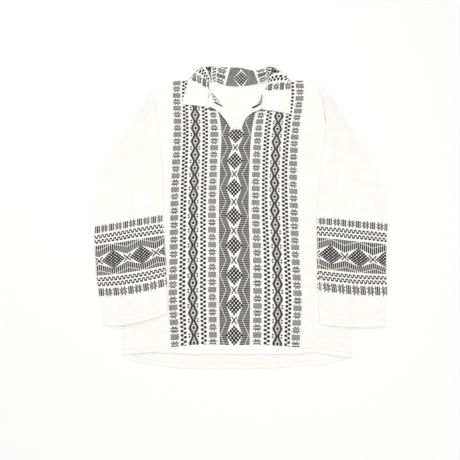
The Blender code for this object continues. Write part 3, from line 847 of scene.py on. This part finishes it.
sleeveRows = {
    "left": [(-221, 385, -209, 371), (-233, 356, -199, 350), (-256, 320, -195, 318),
             (-282, 280, -192, 285), (-303, 245, -188, 252), (-323, 209, -184, 221),
             (-336, 175, -180, 190), (-344, 130, -176, 150), (-348, 85, -173, 110),
             (-348, 40, -172, 68), (-345, -10, -170, 20), (-339, -60, -165, -35),
             (-332, -115, -160, -88), (-322, -175, -156, -146), (-308, -239, -151, -208)],
    "right": [(262, 397, 243, 392), (285, 366, 252, 371), (301, 330, 255, 338),
              (323, 292, 258, 302), (342, 257, 255, 262), (360, 222, 247, 225),
              (377, 184, 241, 185), (391, 147, 235, 143), (402, 110, 229, 100),
              (406, 70, 224, 60), (403, 25, 221, 15), (396, -30, 220, -35),
              (390, -90, 218, -90), (387, -157, 216, -153), (381, -240, 217, -234)],
}
sleeve = {
    "wall": 1.1,
    "gap": 0.6,  # between its two layers
    "full": 1.1,  # how far air lifts the upper layer, and at the cuff
    "cuffFull": 1.6,
    "cuffStart": 0.8,  # share of its length at which the cuff's height starts
    "cuffBow": {"left": 9.0, "right": 5.0},
    "bowStart": 0.72,
    "stepStart": 2.0,  # mm outside the body's edge where it starts to come down to the table
    "stepRun": 15.0,
    "edgeRise": 5.0,  # the upper layer has its full height after one fifth of the width
    "fineLift": 0.35,
    "ripples": [(80.0, 0.35, 0.4), (27.0, 0.1, 1.4)],
    # along from shoulder to cuff, across from the inner to the outer fold, their reach, height
    "creases": {
        "left": [(0.30, 0.30, 0.10, 0.10, 1.3), (0.42, 0.62, 0.12, 0.12, 1.0),
                 (0.16, 0.55, 0.06, 0.14, 1.1), (0.62, 0.45, 0.10, 0.16, 0.8)],
        "right": [(0.36, 0.22, 0.09, 0.07, 2.0), (0.50, 0.60, 0.12, 0.12, 0.9),
                  (0.18, 0.50, 0.06, 0.14, 1.1), (0.66, 0.40, 0.10, 0.16, 0.8)],
    },
    # soft folds: from (x, y) to (x, y), height and width
    "folds": {
        "left": [(-290, 160, -297, 30, 0.7, 7), (-212, -120, -206, -222, 0.6, 7),
                 (-262, 300, -216, 250, 0.6, 8), (-330, 60, -318, -60, 0.5, 9),
                 (-240, 60, -238, -40, 0.5, 10), (-216, 352, -226, 322, 0.7, 5)],
        "right": [(296, 165, 289, 35, 0.8, 6), (256, -130, 254, -240, 0.7, 6),
                  (300, 290, 268, 240, 0.6, 8), (372, 100, 366, -20, 0.5, 9),
                  (330, -60, 326, -170, 0.5, 10), (272, 372, 286, 336, 0.7, 5)],
    },
    "length": 640.0,
    "spacing": 3.8,
    "across": 56,
    "turns": 6,
}
sleeveAlong = towardsHem(sleeve["length"], sleeve["spacing"])


def sleeveRow(along):  # the grid row at this share of a sleeve's length
    return np.interp(along, sleeveAlong, np.arange(len(sleeveAlong)))


def halfCircle(edge, way, base, radius, angles):  # a fold's rounded turn, way points out of the sleeve
    c = radius * np.cos(angles)[None, :]
    s = radius * np.sin(angles)[None, :]
    return np.stack([edge[0] + way[0] * c, edge[1] + way[1] * c, base + s], axis=-1)


def sleeveGrid(side, inset):
    # Closed rings: upper layer from inner to outer fold, half circle, lower layer back, half circle
    turn = sleeve["wall"] + sleeve["gap"] / 2
    along = sleeveAlong[:, None]
    outerX, outerY, innerX, innerY = curveRows(sleeveRows[side], sleeveAlong).T[..., None]
    width = np.hypot(outerX - innerX, outerY - innerY)
    way = (outerX - innerX) / width, (outerY - innerY) / width
    low = turn / width
    share = mix(low, 1 - low, np.linspace(0, 1, sleeve["across"] + 1)[None, :])
    bowStart = sleeve["bowStart"]
    sag = sleeve["cuffBow"][side] * ease((along - bowStart) / (1 - bowStart)) * 4 * share * (1 - share)
    x = mix(innerX, outerX, share)
    y = mix(innerY, outerY, share) - sag
    out = sideX(y, "left") - x if side == "left" else x - sideX(y, "right")
    overX = np.clip(x, sideX(y, "left"), sideX(y, "right"))
    over = frontTop(overX, y, False) + body["layGap"]
    rest = over * (1 - ease((out - sleeve["stepStart"]) / sleeve["stepRun"]))
    ends = np.minimum(1.0, sleeve["edgeRise"] * np.minimum(share - low, 1 - low - share))
    cuffShare = ease((along - sleeve["cuffStart"]) / (1 - sleeve["cuffStart"]))
    swell = mix(sleeve["full"], sleeve["cuffFull"], cuffShare) + sleeve["fineLift"]
    for atAlong, atAcross, length, reach, height in sleeve["creases"][side]:
        bell = ((along - atAlong) / length) ** 2 + ((share - atAcross) / reach) ** 2
        swell = swell + height * np.exp(-bell)
    swell = swell + foldHeight(sleeve["folds"][side], x, y) + rippleHeight(sleeve["ripples"], x, y)
    cuff = hemRise((1 - along) * sleeve["length"]) * ends if inset == 0 else 0.0
    upper = rest + 2 * sleeve["wall"] + sleeve["gap"] + np.maximum(0, swell * ends) - inset
    top = np.stack([x, y, upper + cuff], axis=-1)
    bottom = np.stack([x, y, rest + inset], axis=-1)[:, ::-1]
    angles = np.linspace(math.pi / 2, -math.pi / 2, sleeve["turns"] + 2)[1:-1]
    radius = turn - inset
    outerFold = x[:, -1:], y[:, -1:]
    innerFold = x[:, :1], y[:, :1]
    back = -way[0], -way[1]
    outerTurn = halfCircle(outerFold, way, rest[:, -1:] + turn, radius, angles)
    innerTurn = halfCircle(innerFold, back, rest[:, :1] + turn, radius, angles[::-1])
    return np.concatenate([top, outerTurn, bottom, innerTurn], axis=1), width[:, 0]


def gridNormals(points, closed=False):
    if closed:
        right = np.roll(points, -1, axis=1) - np.roll(points, 1, axis=1)
    else:
        right = np.gradient(points, axis=1)
    up = np.gradient(points, axis=0)
    normals = np.cross(right, up)
    return normals / np.maximum(np.linalg.norm(normals, axis=-1, keepdims=True), 1e-9)


def lookUp(points, row, column):  # between grid points, rows and columns as whole and part numbers
    row = np.clip(row, 0, points.shape[0] - 1.001)
    column = np.clip(column, 0, points.shape[1] - 1.001)
    r = row.astype(int)
    c = column.astype(int)
    partRow = (row - r)[..., None]
    partColumn = (column - c)[..., None]
    near = mix(points[r, c], points[r, c + 1], partColumn)
    return mix(near, mix(points[r + 1, c], points[r + 1, c + 1], partColumn), partRow)


def makeSleeve(side):
    outer, width = sleeveGrid(side, 0.0)
    inner = sleeveGrid(side, sleeve["wall"])[0]
    rings, around = outer.shape[:2]
    ids = numbered((rings, around))
    ids = np.hstack([ids, ids[:, :1]])
    rim = 0.5 * (outer[[0, -1]] + inner[[0, -1]])
    step = outer[[0, -1]] - outer[[1, -2]]
    rim = rim + step / np.linalg.norm(step, axis=-1, keepdims=True) * sleeve["wall"] * 0.5
    verts = np.concatenate([outer.reshape(-1, 3), inner.reshape(-1, 3), rim.reshape(-1, 3)])
    total = rings * around
    faces = [gridFaces(ids), gridFaces(ids)[:, ::-1] + total]
    for end, row in ((0, 0), (1, rings - 1)):
        edge = ids[row]
        middle = np.append(np.arange(around), 0) + 2 * total + end * around
        for rows in ([edge, middle], [middle, edge + total]):
            quads = gridFaces(np.stack(rows))
            faces.append(quads[:, ::-1] if end == 0 else quads)
    quads = np.concatenate(faces)
    if side == "right":
        quads = quads[:, ::-1]
    uv = listed(lengthsAlong(outer[rings // 2])[None, :], lengthsAlong(outer[:, 0])[:, None])
    uvAll = np.concatenate([uv, uv, uv.reshape(rings, around, 2)[[0, -1]].reshape(-1, 2)]) * mm
    made = makeObject("sleeve_cloth_" + side, verts, quads, cotton, uvAll)
    return made, outer, width


# Where the band lies: its upper stars, middle and lower stars as shares of the sleeve's length, and
# how these rows slant (share of the length), slide and stretch (mm) towards the outer fold
sleeveBand = {
    "a": [-81.0, 0.0, 81.0],
    "beyond": (0.0014, 0.00122),  # share of the length for each mm past the upper and lower stars
    "left": {"along": [0.701, 0.8135, 0.913], "slant": [0.001, 0.002, -0.005],
             "slide": [1.0, 0.0, -10.6], "stretch": [0.0, 0.0, 13.0], "diamond": 58.6},
    "right": {"along": [0.703, 0.824, 0.918], "slant": [0.037, 0.021, 0.007],
              "slide": [-2.2, 0.0, 7.1], "stretch": [0.0, 0.0, 5.0], "diamond": 31.7},
}


def makeSleeveBrocade(side, outer, width):
    band = sleeveBand[side]
    closed = np.concatenate([outer, outer[:, :1]], axis=1)
    normals = gridNormals(outer, True) * (-1.0 if side == "right" else 1.0)
    normals = np.concatenate([normals, normals[:, :1]], axis=1)
    across = sleeve["across"]
    turns = sleeve["turns"] + 1
    turnLength = math.pi * (sleeve["wall"] + sleeve["gap"] / 2)
    marks = np.array([0, across, across + turns, 2 * across + turns, closed.shape[1] - 1], float)
    middle = float(np.interp(band["along"][1], sleeveAlong, width))
    far = np.cumsum([0, middle, turnLength, middle, turnLength])
    startB = sleeveWeave["step"] / 2 - band["diamond"]

    def place(a, b):
        slide, stretch, slant, along = [
            np.interp(a, sleeveBand["a"], band[key]) for key in ("slide", "stretch", "slant", "along")]
        p = np.mod(b - startB + slide, far[-1])
        out = np.minimum(p / middle, (far[-1] - p) / (far[-1] - middle))  # 1 at the outer fold
        over = np.clip(a - sleeveBand["a"][0], None, 0) * sleeveBand["beyond"][0]
        under = np.clip(a - sleeveBand["a"][-1], 0, None) * sleeveBand["beyond"][1]
        row = sleeveRow(along + over + under + slant * out)
        column = np.interp(p + stretch * out, far, marks)
        return lookUp(closed, row, column), lookUp(normals, row, column)

    runs = threadRuns(sleeveWeave, startB, startB + far[-1] - 1.0)
    return layThreads("brocade_sleeve_" + side, runs, place, blackYarn)


sleeves = {}
for side in ("left", "right"):
    cloth, outer, width = makeSleeve(side)
    sleeves[side] = (cloth, makeSleeveBrocade(side, outer, width), outer)
print("sleeves made")


# Collar: sections from the left point round the neck to the right point, outer then inner edge

collar = {
    "sections": [(-131, 350, -61, 343), (-123, 387, -60.5, 366), (-113, 423, -56.5, 393),
                 (-101, 443, -57, 411), (-78, 460, -55, 419), (-52, 466, -48, 421),
                 (-33, 465, -35, 415), (-3, 464, -11, 406), (28, 463, 28, 404),
                 (63, 455, 70, 410), (91, 459, 92, 417), (111, 467, 102, 423),
                 (139, 449, 104, 419), (163, 425, 102, 411), (168, 390, 95, 390),
                 (165, 354, 89.5, 362), (163, 322, 88.5, 335)],
    "wall": 2.2,
    "rim": (0.5, 8.0),  # share of the wall left at its edges, and it is full after 1/8 of the width
    "crown": 2.2,
    "roll": (5.0, 0.5, 0.13),  # height at the outer edge, where from middle 0 to point 1, and reach
    "drop": (8.0, 14.0),  # mm outside the front where it starts to come down, and over how much
    "ripples": [(60.0, 0.3, 0.2), (22.0, 0.1, 1.1)],
    "depth": 60.0,  # mm across it for the cloth's pattern
    "rows": 260,
    "columns": 44,
    # puckers and soft folds: from (x, y) to (x, y), height and width
    "folds": [(-64, 466, -53, 436, -2.0, 4.5), (134, 460, 108, 438, -2.0, 4.5),
              (-52, 462, -46, 440, 0.9, 4), (118, 464, 104, 446, 0.9, 4),
              (-110, 386, -72, 372, 0.5, 8), (-96, 424, -66, 404, -0.7, 5),
              (112, 404, 156, 396, 0.5, 8), (104, 418, 150, 436, -0.8, 5),
              (152, 350, 104, 344, 0.4, 9), (-118, 366, -84, 352, -0.4, 7),
              (-22, 440, -26, 462, -0.5, 5), (62, 436, 66, 456, -0.5, 5)],
    # the weave: thread place, how far round the neck at the inner and at the outer edge, slide
    "weave": [(-164.0, -134.5, -133.0, 6.6), (-153.0, -120.5, -123.0, 6.6),
              (-143.3, -107.5, -114.0, 6.0), (-131.0, -101.0, -101.0, 4.0),
              (-118.0, -88.0, -91.0, 2.0), (-93.0, -83.0, -79.0, 1.0), (-80.0, -73.5, -72.5, 0.0),
              (-73.0, -68.5, -67.0, 0.0), (-66.3, -66.0, -64.0, 0.0), (-46.9, -42.5, -39.0, 0.0),
              (-38.2, -36.5, -30.0, 0.0), (-22.0, -18.0, -16.5, 0.0), (0.0, 2.6, 3.0, 0.0),
              (22.0, 23.5, 22.0, 0.0), (38.2, 46.5, 38.8, 0.0), (46.9, 52.5, 46.5, 0.0),
              (66.3, 76.5, 69.0, 0.0), (73.6, 78.0, 71.5, 0.5), (86.4, 84.0, 83.5, 1.0),
              (93.0, 84.5, 85.0, 2.0), (118.0, 85.5, 104.0, 5.0), (124.6, 90.0, 114.5, 7.5),
              (137.4, 111.5, 124.0, 9.5), (143.3, 125.0, 129.0, 12.3), (153.0, 136.5, 138.0, 11.0),
              (164.0, 150.0, 146.5, 9.7)],
    "depths": (-8.0, 88.0),  # b at its inner and outer edge, with some to spare
    "firstStar": 7.0,
    "squeeze": 0.867,  # how much closer the threads lie than on the front
    "edge": 0.8,
}


def outsideFront(x, y):  # how far a point near the neck is from the front panel
    above = np.maximum(0.0, y - body["shoulderTop"])
    toLeft = np.maximum(0.0, x - slitX(y, "left", 0))
    toRight = np.maximum(0.0, slitX(y, "right", 0) - x)
    return np.hypot(above, np.minimum(toLeft, toRight))


def collarGrid():
    along = np.linspace(0, 1, collar["rows"] + 1)
    outerX, outerY, innerX, innerY = curveRows(collar["sections"], along).T[..., None]
    across = np.linspace(0, 1, collar["columns"] + 1)[None, :]
    x = mix(innerX, outerX, across)
    y = mix(innerY, outerY, across)
    height, place, reach = collar["roll"]
    roll = height * np.exp(-(((np.abs(2 * along - 1)[:, None] - place) / reach) ** 2))
    overFront = frontTop(x, y, False) + body["layGap"]
    onBack = body["backWall"] + body["seamGap"]
    dropStart, dropRun = collar["drop"]
    base = mix(overFront, onBack, ease((outsideFront(x, y) - dropStart) / dropRun))
    rimWall, rimSteepness = collar["rim"]
    rim = ease(np.minimum(across, 1 - across) * rimSteepness)
    wall = collar["wall"] * mix(rimWall, 1.0, rim)
    z = base + collar["crown"] * 4 * across * (1 - across) + roll * ease(across) + wall
    z = z + rim * (foldHeight(collar["folds"], x, y) + rippleHeight(collar["ripples"], x, y))
    return np.stack([x, y, z], axis=-1), np.broadcast_to(wall, z.shape).ravel()


collarPoints, collarWall = collarGrid()
collarLength = lengthsAlong(collarPoints[:, collar["columns"] // 2])
collarCentre = float(np.interp(0.5, np.linspace(0, 1, len(collarLength)), collarLength))
collarWidth = np.linalg.norm(collarPoints[:, -1] - collarPoints[:, 0], axis=1)


def collarRow(around):  # the grid row this far round the neck from its middle
    return np.interp(around + collarCentre, collarLength, np.arange(len(collarLength)))


def makeCollar():
    rows, columns = collarPoints.shape[:2]
    uv = listed(collarLength[:, None], np.linspace(0, collar["depth"], columns)[None, :]) * mm
    faces = gridFaces(numbered((rows, columns)))[:, ::-1]
    return makeShell("collar_cloth", collarPoints.reshape(-1, 3), faces, collarWall, cotton, uv)


# The collar is cut across the same cloth, with a diamond behind the neck
collarWeave = dict(bodyWeave)
collarWeave.update(firstDiamond=0.5, chevron=(60.0, 60.0), fieldInner=(23.0, 4.0), narrow=0.72,
                   lines="11010", bar="11011011011011", star=(0.87, 1.0))


def makeCollarBrocade():
    normals = -gridNormals(collarPoints)
    weave = np.array(collar["weave"])

    def spot(a, b):  # place round the neck and share across of a thread point, and the width there
        inner, outer, slide = [np.interp(a, weave[:, 0], weave[:, i]) for i in (1, 2, 3)]
        depth = collar["squeeze"] * b + collar["firstStar"] - slide
        width = np.interp(mix(inner, outer, 0.5) + collarCentre, collarLength, collarWidth)
        share = depth / width
        return mix(inner, outer, np.clip(share, 0, 1)), share, width

    def inside(a, b):
        _, share, width = spot(a, b)
        edge = collar["edge"] / width
        return (share > edge) & (share < 1 - edge)

    def place(a, b):
        around, share, _ = spot(a, b)
        row = collarRow(around)
        column = share * collar["columns"]
        return lookUp(collarPoints, row, column), lookUp(normals, row, column)

    runs = threadRuns(collarWeave, *collar["depths"], inside)
    return layThreads("brocade_collar", runs, place, blackYarn)


collarCloth = makeCollar()
collarBrocade = makeCollarBrocade()
print("collar made")


# Strips turned out beside the neck slit

strips = {
    "wall": 1.0,
    "crown": 0.5,
    "firstRow": {"left": 2, "right": 3},  # of the slit's points, where the collar lets it show
    "rows": 70,
    "columns": 12,
    "flatWidth": {"left": 0.017, "right": 0.012},  # metres
    "flatLength": 0.12,
}


def makeStrip(side):
    table = body["slit"][side][strips["firstRow"][side]:]
    spot = np.linspace(0, len(table) - 1, strips["rows"] + 1)[::-1, None]
    edgeX, edgeY, stripX, stripY = columnsAt(table, spot)
    across = np.linspace(0, 1, strips["columns"] + 1)[None, :]
    if side == "right":
        across = across[:, ::-1]
    x = mix(stripX, edgeX, across)
    y = mix(stripY, edgeY, across)
    x[0, across[0] == 1] += body["seamGap"] * (1 if side == "right" else -1)
    z = frontTop(x, y) + body["seamGap"] + strips["wall"] + strips["crown"] * np.sin(math.pi * across)
    faces = gridFaces(numbered(x.shape))
    uv = listed(x, y) * mm
    return makeShell("strip_cloth_" + side, listed(x, y, z), faces, strips["wall"], cotton, uv)


stripCloth = {side: makeStrip(side) for side in ("left", "right")}
print("strips made")


# Loose thread ends on the strips' wrong side, and dark threads along the strips' outer edges

looseThreads = {
    # width, then the (x, y) places it runs through
    "left": [(1.7, [(-49, 384), (-51, 379), (-46, 374), (-43, 374), (-47, 367.5),
                    (-42.5, 363.5), (-38.5, 366), (-41, 359), (-36.5, 355), (-32, 356.5)]),
             (1.4, [(-47.5, 383), (-41.5, 374), (-35, 364), (-27.5, 354)]),
             (1.8, [(-45, 356), (-34, 352), (-27.5, 349), (-20, 344.5)]),
             (1.8, [(-43, 354.2), (-33, 350.2), (-26, 346.8), (-19, 342.8)]),
             (1.6, [(-38, 351), (-31, 348.5), (-24, 345)])],
    "right": [(1.5, [(86, 379), (87, 372), (85.5, 362), (85, 353)]),
              (1.6, [(84, 370), (86.5, 364), (80.5, 361), (85.5, 357), (77.5, 355.5),
                     (84, 352), (73, 350.5)]),
              (1.8, [(59, 339.5), (66, 343.5), (75, 348), (84, 352)]),
              (1.8, [(60.5, 337.8), (67, 341.8), (76, 346.3), (85, 350.3)]),
              (1.6, [(64, 338), (70, 341.4), (78, 345.4)])],
    # on the front, just outside the strips
    "front": [(0.9, [(-63, 338.6), (-54, 339), (-45, 336.4), (-36, 331)]),
              (0.9, [(-63, 337.5), (-54, 337.9), (-45, 335.3), (-37, 330.6)]),
              (0.9, [(-62, 336.4), (-54, 336.8), (-46, 334.6), (-39, 331)]),
              (0.9, [(-61, 335.3), (-54, 335.7), (-48, 334)]),
              (2.2, [(-33, 328.5), (-24, 317.5), (-13, 302.5), (-5.5, 289)]),
              (2.0, [(35.5, 289), (42.5, 304), (51, 315), (62, 323.5), (75, 329)]),
              (1.4, [(72, 328), (80, 331.2), (90, 332.6), (101, 332.5)])],
    # where the collar is pinched: how far round the neck, and share from its inner to its outer edge
    "collar": [[(-90, 0.96), (-85, 0.8), (-81, 0.56)], [(-77, 0.97), (-81, 0.8), (-83, 0.6)],
               [(-84, 0.98), (-83.5, 0.85), (-82, 0.66)], [(-92, 0.82), (-86, 0.76), (-79, 0.74)],
               [(77, 0.62), (86, 0.68), (95, 0.72), (102, 0.82)],
               [(84, 0.93), (88, 0.82), (94, 0.76), (101, 0.86)], [(90, 0.96), (94, 0.86), (100, 0.80)]],
    "collarWidth": 2.5,
    "aboveStrip": 0.45,
}


def smoothed(marks):  # four points for each mark, as two columns
    return curveRows(marks, np.linspace(0, 1, 4 * len(marks))).T


def onCloth(marks, above=0.0):  # on the front, or above it
    x, y = smoothed(marks)
    return np.column_stack([x, y, frontTop(x, y) + above])


def onCollar(marks):
    around, share = smoothed(marks)
    return lookUp(collarPoints, collarRow(around), share * collar["columns"])


stripTop = body["seamGap"] + strips["wall"] + looseThreads["aboveStrip"]
loose = [(onCloth(marks, stripTop), width) for width, marks in looseThreads["left"] + looseThreads["right"]]
looseEnds = makeRibbons("loose_ends", loose, blackYarn)
pinched = [(onCollar(marks), looseThreads["collarWidth"]) for marks in looseThreads["collar"]]
pinchedThreads = makeRibbons("pinched_threads", pinched, blackYarn)
alongStrips = [(onCloth(marks), width) for width, marks in looseThreads["front"]]
edgeThreads = makeRibbons("edge_threads", alongStrips, blackYarn)


# Stitches along the hems and the cuffs, and inside both edges of the collar

sewing = {
    "stitch": (2.9, 0.9, 0.75),  # length, gap and width
    "side": 3.0,  # mm left free at each end of a hem
    "points": {"hem": 200, "cuff": 90, "collar": 400},  # on the line that the stitches follow
    "collarEnd": 2,  # rows of the collar's grid left free at its points
    "collarRows": (0.06, 0.94),  # shares of the width
}
seamPlace = hem["depth"] - hem["seam"]


def sew(name, *lines):
    paths = []
    for line in lines:
        paths += stitchesOn(line, *sewing["stitch"])
    return makeRibbons(name, paths, creamThread)


def hemLine(edge):  # the hem's edge moved inwards to its seam
    x = np.linspace(edge[0][0] + sewing["side"], edge[-1][0] - sewing["side"], sewing["points"]["hem"])
    table = np.array(edge, float)
    return x, np.interp(x, table[:, 0], table[:, 1]) + seamPlace


def sewFront():
    x, y = hemLine(body["frontHem"])
    return sew("stitches_front", np.column_stack([x, y, frontTop(x, y)]))


def sewBack():
    x, y = hemLine(body["backHem"])
    return sew("stitches_back", listed(x, y, body["backWall"] + hemRise(seamPlace)))


def sewCuff(side):
    columns = np.linspace(1, sleeve["across"] - 1, sewing["points"]["cuff"])
    row = np.full(len(columns), sleeveRow(1 - seamPlace / sleeve["length"]))
    return sew("stitches_cuff_" + side, lookUp(sleeves[side][2], row, columns))


def sewCollar():
    end = sewing["collarEnd"]
    rows = np.linspace(end, collar["rows"] - end, sewing["points"]["collar"])
    lines = [lookUp(collarPoints, rows, np.full(len(rows), share * collar["columns"]))
             for share in sewing["collarRows"]]
    return sew("stitches_collar", *lines)


sewn = {"front": sewFront(), "back": sewBack(), "collar": sewCollar(),
        "left": sewCuff("left"), "right": sewCuff("right")}
print("stitches made")


# Joining to the frame

def stand(piece, *nodes, slot):
    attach(piece, "root")
    if nodes:
        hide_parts(*nodes)


stand(backCloth, "back", slot="plain_cloth")
stand(frontCloth, "front", slot="brocade_cloth")
for piece in frontBrocade:
    stand(piece, slot="brocade_cloth")
for side in ("left", "right"):
    stand(sleeves[side][0], "sleeve_" + side[0], slot="sleeve_cloth")
    stand(sleeves[side][1], slot="sleeve_cloth")
    stand(stripCloth[side], "slit_facing_" + side[0], slot="facing_cloth")
stand(collarCloth, "collar", slot="collar_cloth")
stand(collarBrocade, slot="collar_cloth")
stand(pinchedThreads, slot="collar_cloth")
stand(looseEnds, slot="facing_cloth")
stand(edgeThreads, slot="brocade_cloth")
stand(sewn["front"], slot="brocade_cloth")
stand(sewn["back"], slot="plain_cloth")
stand(sewn["collar"], slot="collar_cloth")
for side in ("left", "right"):
    stand(sewn[side], slot="sleeve_cloth")


# Floor, light and camera

photo = {
    "tilt": 13.0,  # degrees back from straight down
    "distance": 1125.0,  # mm from the table's middle
    "lens": 34.51,  # mm on a 36 mm sensor
    "sensor": 36.0,
    "nearest": 0.01,  # metres
}
studio = {
    "table": {"Base Color": "#FDFDFC", "Roughness": 0.9, "Specular IOR Level": 0.2},
    "reach": 6.0,  # metres from the middle to the table's edge
    # name, place in mm, metres across and watts
    "lamps": [("windowLight", (-400, 800, 1800), 2.6, 11.5), ("fillLight", (600, -800, 1700), 2.8, 6.5)],
    "sky": ("#FFFFFF", 0.755),
}


def tableVector(x, y, z):
    return Vector(((x + tableX) * mm, (y + tableY) * mm, z * mm))


def makeFloor():
    surface = dict(studio["table"])
    surface["Base Color"] = toLinear(surface["Base Color"])
    mesh = bpy.data.meshes.new("table_top")
    far = studio["reach"]
    mesh.from_pydata([(-far, -far, 0), (far, -far, 0), (far, far, 0), (-far, far, 0)], [], [(0, 1, 2, 3)])
    mesh.materials.append(startMaterial("paleTable", surface)[0])
    floor = bpy.data.objects.new("table_top", mesh)
    bpy.context.scene.collection.objects.link(floor)


def makeLamp(name, place, size, power):  # a round soft light that looks at the table's middle
    light = bpy.data.lights.new(name, "AREA")
    light.shape = "DISK"
    light.size = size
    light.energy = power
    lamp = bpy.data.objects.new(name, light)
    lamp.location = tableVector(*place)
    lamp.rotation_euler = (tableVector(0, 0, 0) - lamp.location).to_track_quat("-Z", "Y").to_euler()
    bpy.context.scene.collection.objects.link(lamp)


def makeSky(colour, strength):
    world = bpy.data.worlds.new("studio")
    world.use_nodes = True
    background = world.node_tree.nodes["Background"]
    background.inputs[0].default_value = toLinear(colour)
    background.inputs[1].default_value = strength
    bpy.context.scene.world = world


def makeCamera():
    lens = bpy.data.cameras.new("photoCamera")
    lens.sensor_width = photo["sensor"]
    lens.lens = photo["lens"]
    lens.clip_start = photo["nearest"]
    camera = bpy.data.objects.new("photoCamera", lens)
    tilt = math.radians(photo["tilt"])
    far = photo["distance"]
    camera.location = tableVector(0, -far * math.sin(tilt), far * math.cos(tilt))
    camera.rotation_euler = (tilt, 0.0, 0.0)
    bpy.context.scene.collection.objects.link(camera)
    bpy.context.scene.camera = camera


makeFloor()
for lamp in studio["lamps"]:
    makeLamp(*lamp)
makeSky(*studio["sky"])
makeCamera()
bpy.context.scene.view_settings.view_transform = "Standard"
